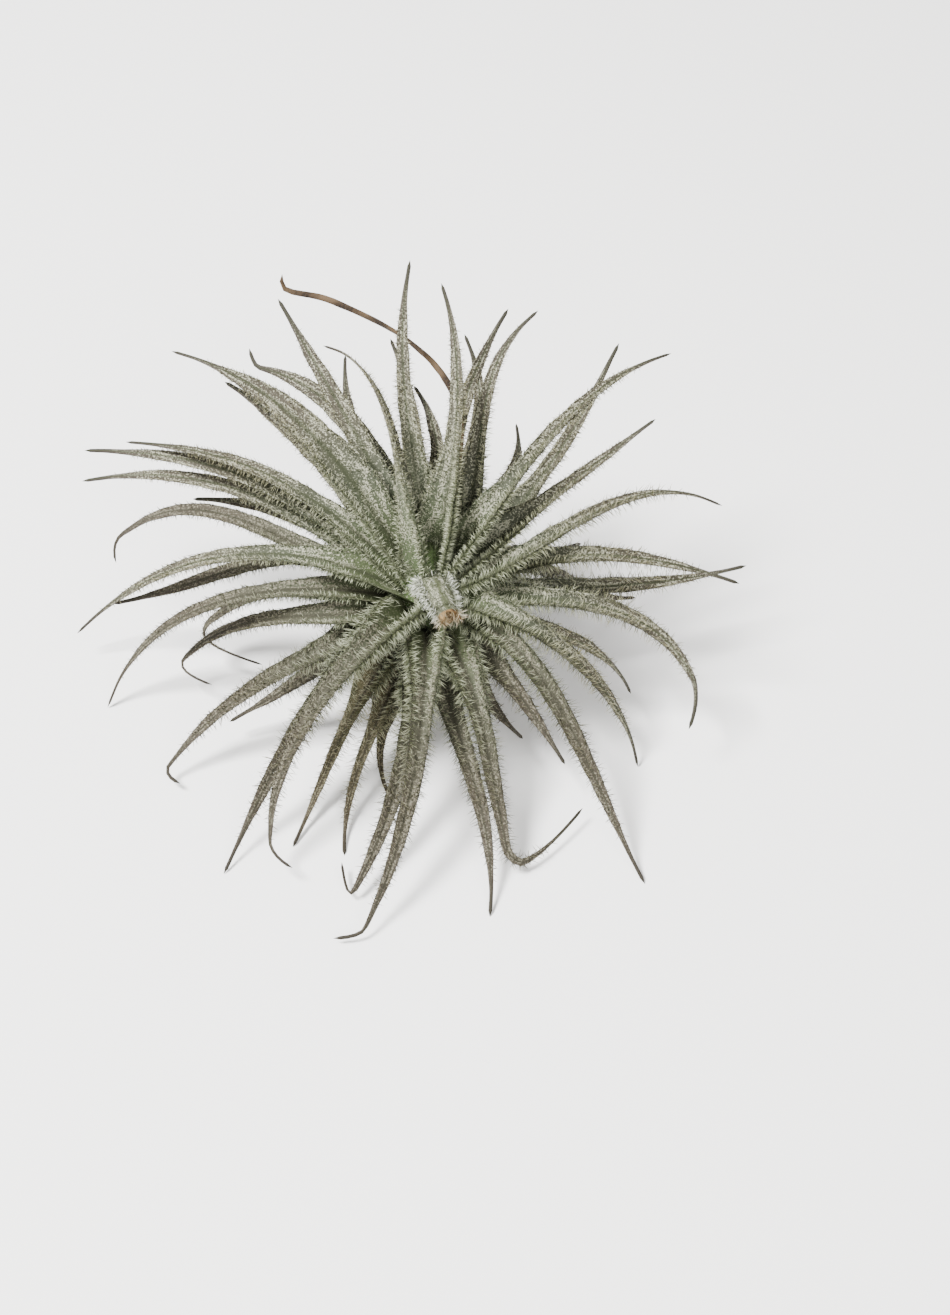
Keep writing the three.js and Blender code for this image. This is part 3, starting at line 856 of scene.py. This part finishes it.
def makeStemTree():
    tree = bpy.data.node_groups.new("scalyStem", "GeometryNodeTree")
    sockets = tree.interface.new_socket
    sockets("Geometry", in_out="OUTPUT", socket_type="NodeSocketGeometry")
    sockets("Geometry", in_out="INPUT", socket_type="NodeSocketGeometry")
    for label, value in stemSizes.items():
        kind = "NodeSocketInt" if isinstance(value, int) else "NodeSocketFloat"
        sockets(label, in_out="INPUT", socket_type=kind).default_value = value
    sockets("Bark", in_out="INPUT", socket_type="NodeSocketMaterial")
    add = partial(addNode, tree)
    given = add("NodeGroupInput").outputs

    # one scale: a thin shield, wrapped round the stem, with a pointed, lifted top
    shield = add("GeometryNodeMeshIcoSphere", {"Radius": 1.0, "Subdivisions": 3})
    spot = add("ShaderNodeSeparateXYZ", [add("GeometryNodeInputPosition")])
    top = add("ShaderNodeMath", [spot.outputs["Z"], 0.0], operation="MAXIMUM")
    slim = add("ShaderNodeMath", [top, -0.25, 0.5], operation="MULTIPLY_ADD")
    wide = add("ShaderNodeMath", [spot.outputs["X"], slim], operation="MULTIPLY")
    wide = add("ShaderNodeMath", [wide, given["Scale width"]], operation="MULTIPLY")
    tall = add("ShaderNodeMath", [spot.outputs["Z"], given["Scale height"]], operation="MULTIPLY")
    tall = add("ShaderNodeMath", [tall, 0.5], operation="MULTIPLY")
    bulge = add("ShaderNodeMath", [wide, wide], operation="MULTIPLY")
    bulge = add("ShaderNodeMath", [bulge, given["Neck radius"]], operation="DIVIDE")
    deep = add("ShaderNodeMath", [spot.outputs["Y"], given["Scale thickness"]],
               operation="MULTIPLY")
    lifted = add("ShaderNodeMath", [top, 2.0], operation="POWER")
    lifted = add("ShaderNodeMath", [lifted, given["Scale lift"]], operation="MULTIPLY")
    deep = add("ShaderNodeMath", [deep, 0.5, lifted], operation="MULTIPLY_ADD")
    deep = add("ShaderNodeMath", [deep, bulge], operation="SUBTRACT")
    placed = add("ShaderNodeCombineXYZ", [wide, deep, tall])
    shield = add("GeometryNodeSetPosition", {"Geometry": shield, "Position": placed})

    # scales set round the stem by the golden angle
    index = add("GeometryNodeInputIndex")
    share = add("ShaderNodeMath", [index, given["Scales"]], operation="DIVIDE")
    turn = add("ShaderNodeMath", [index, goldenAngle], operation="MULTIPLY")
    height = add("ShaderNodeMix", [share, given["Lowest scale"], given["Highest scale"]],
                 data_type="FLOAT")
    radius = add("ShaderNodeMix", [share, given["Foot radius"], given["Neck radius"]],
                 data_type="FLOAT")
    east = add("ShaderNodeMath", [turn], operation="COSINE")
    east = add("ShaderNodeMath", [east, radius], operation="MULTIPLY")
    north = add("ShaderNodeMath", [turn], operation="SINE")
    north = add("ShaderNodeMath", [north, radius], operation="MULTIPLY")
    place = add("ShaderNodeCombineXYZ", [east, north, height])
    dots = add("GeometryNodePoints", {"Count": given["Scales"], "Position": place})
    facing = add("ShaderNodeMath", [turn, math.pi / 2], operation="SUBTRACT")
    facing = add("FunctionNodeAxisAngleToRotation", [(0, 0, 1), facing])
    tilt = add("FunctionNodeRandomValue", {"Min": -0.22, "Max": 0.12, "Seed": given["Seed"]},
               data_type="FLOAT")
    tilt = add("FunctionNodeAxisAngleToRotation", [(1, 0, 0), tilt])
    facing = add("FunctionNodeRotateRotation", [facing, tilt], rotation_space="LOCAL")
    size = add("FunctionNodeRandomValue", {"Min": (0.8, 1.0, 0.75), "Max": (1.15, 1.0, 1.2),
                                           "Seed": given["Seed"]}, data_type="FLOAT_VECTOR")
    scales = add("GeometryNodeInstanceOnPoints", {
        "Points": dots, "Instance": shield, "Rotation": facing, "Scale": size})
    stem = add("GeometryNodeRealizeInstances", [
        add("GeometryNodeJoinGeometry", [[given["Geometry"], scales]])])

    # ragged: every point moves a little, but the cut end stays flat
    rough = add("ShaderNodeTexNoise", {"Scale": 1 / bumpGrain, "Detail": 2.0})
    rough = add("ShaderNodeVectorMath", [rough.outputs["Color"], (0.5, 0.5, 0.5)],
                operation="SUBTRACT")
    spot = add("ShaderNodeSeparateXYZ", [add("GeometryNodeInputPosition")])
    hold = add("ShaderNodeMapRange", [spot.outputs["Z"], 0.1 * mm, 1.5 * mm, 0.0, bumpHeight])
    rough = add("ShaderNodeVectorMath", {"Vector": rough, "Scale": hold}, operation="SCALE")
    stem = add("GeometryNodeSetPosition", {"Geometry": stem, "Offset": rough})
    spot = add("ShaderNodeSeparateXYZ", [add("GeometryNodeInputPosition")])
    lowest = add("ShaderNodeMath", [spot.outputs["Z"], 0.0], operation="MAXIMUM")
    raised = add("ShaderNodeCombineXYZ", [spot.outputs["X"], spot.outputs["Y"], lowest])
    stem = add("GeometryNodeSetPosition", {"Geometry": stem, "Position": raised})
    stem = add("GeometryNodeSetShadeSmooth", {"Geometry": stem, "Shade Smooth": True})
    stem = add("GeometryNodeRealizeInstances", [stem])
    add("NodeGroupOutput", [add("GeometryNodeSetMaterial", {
        "Geometry": stem, "Material": given["Bark"]})])
    return tree


def turnCore(profile, sides=32):
    mesh = bmesh.new()
    rings = []
    for radius, height in profile:
        if radius == 0:
            rings.append([mesh.verts.new((0, 0, height * mm))] * sides)
            continue
        turns = [2 * math.pi * i / sides for i in range(sides)]
        rings.append([mesh.verts.new((radius * mm * math.cos(t), radius * mm * math.sin(t),
                                      height * mm)) for t in turns])
    for lower, upper in zip(rings, rings[1:]):
        for i in range(sides):
            j = (i + 1) % sides
            corners = [lower[i], lower[j], upper[j], upper[i]]
            mesh.faces.new(dict.fromkeys(corners))
    bmesh.ops.recalc_face_normals(mesh, faces=mesh.faces)
    core = bpy.data.meshes.new("stemCore")
    mesh.to_mesh(core)
    mesh.free()
    return core


def growStem():
    stem = bpy.data.objects.new("scalyStem", turnCore(coreProfile))
    scene.collection.objects.link(stem)
    grow(stem, makeStemTree(), {"Bark": makeBark("dryStemBark", dryBark)})
    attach(stem, "root")
    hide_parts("stem")
    print("stem grown,", facesOf(stem), "triangles")


growStem()


floorLook = {"colour": "#f3f2f0", "size": 3.0}


def layFloor(look):
    mesh = bpy.data.meshes.new("floor")
    half = look["size"] / 2
    mesh.from_pydata([(-half, -half, 0), (half, -half, 0), (half, half, 0), (-half, half, 0)],
                     [], [(0, 1, 2, 3)])
    material = bpy.data.materials.new("paleFloor")
    material.use_nodes = True
    shader = material.node_tree.nodes["Principled BSDF"].inputs
    shader["Base Color"].default_value = paint(look["colour"])
    shader["Roughness"].default_value = 0.9
    mesh.materials.append(material)
    floor = bpy.data.objects.new("floor", mesh)
    scene.collection.objects.link(floor)


layFloor(floorLook)


# Soft studio light: a key lamp high at the left, a softer fill at the front right and a pale room.
lampLooks = {
    "key": {"place": (-0.48, -0.12, 0.86), "size": 0.30, "power": 38},
    "fill": {"place": (0.30, -0.75, 0.70), "size": 0.50, "power": 9.5},
}
roomLight = 0.62


def hangLamps():
    for name, look in lampLooks.items():
        data = bpy.data.lights.new(name, "AREA")
        data.size = look["size"]
        data.energy = look["power"]
        lamp = bpy.data.objects.new(name, data)
        lamp.location = look["place"]
        lamp.rotation_euler = (crown - lamp.location).to_track_quat("-Z", "Y").to_euler()
        scene.collection.objects.link(lamp)
    world = bpy.data.worlds.new("room")
    world.use_nodes = True
    world.node_tree.nodes["Background"].inputs["Strength"].default_value = roomLight
    world.node_tree.nodes["Background"].inputs["Color"].default_value = paint("#ffffff")
    scene.world = world


hangLamps()
print("floor and lamps in place")
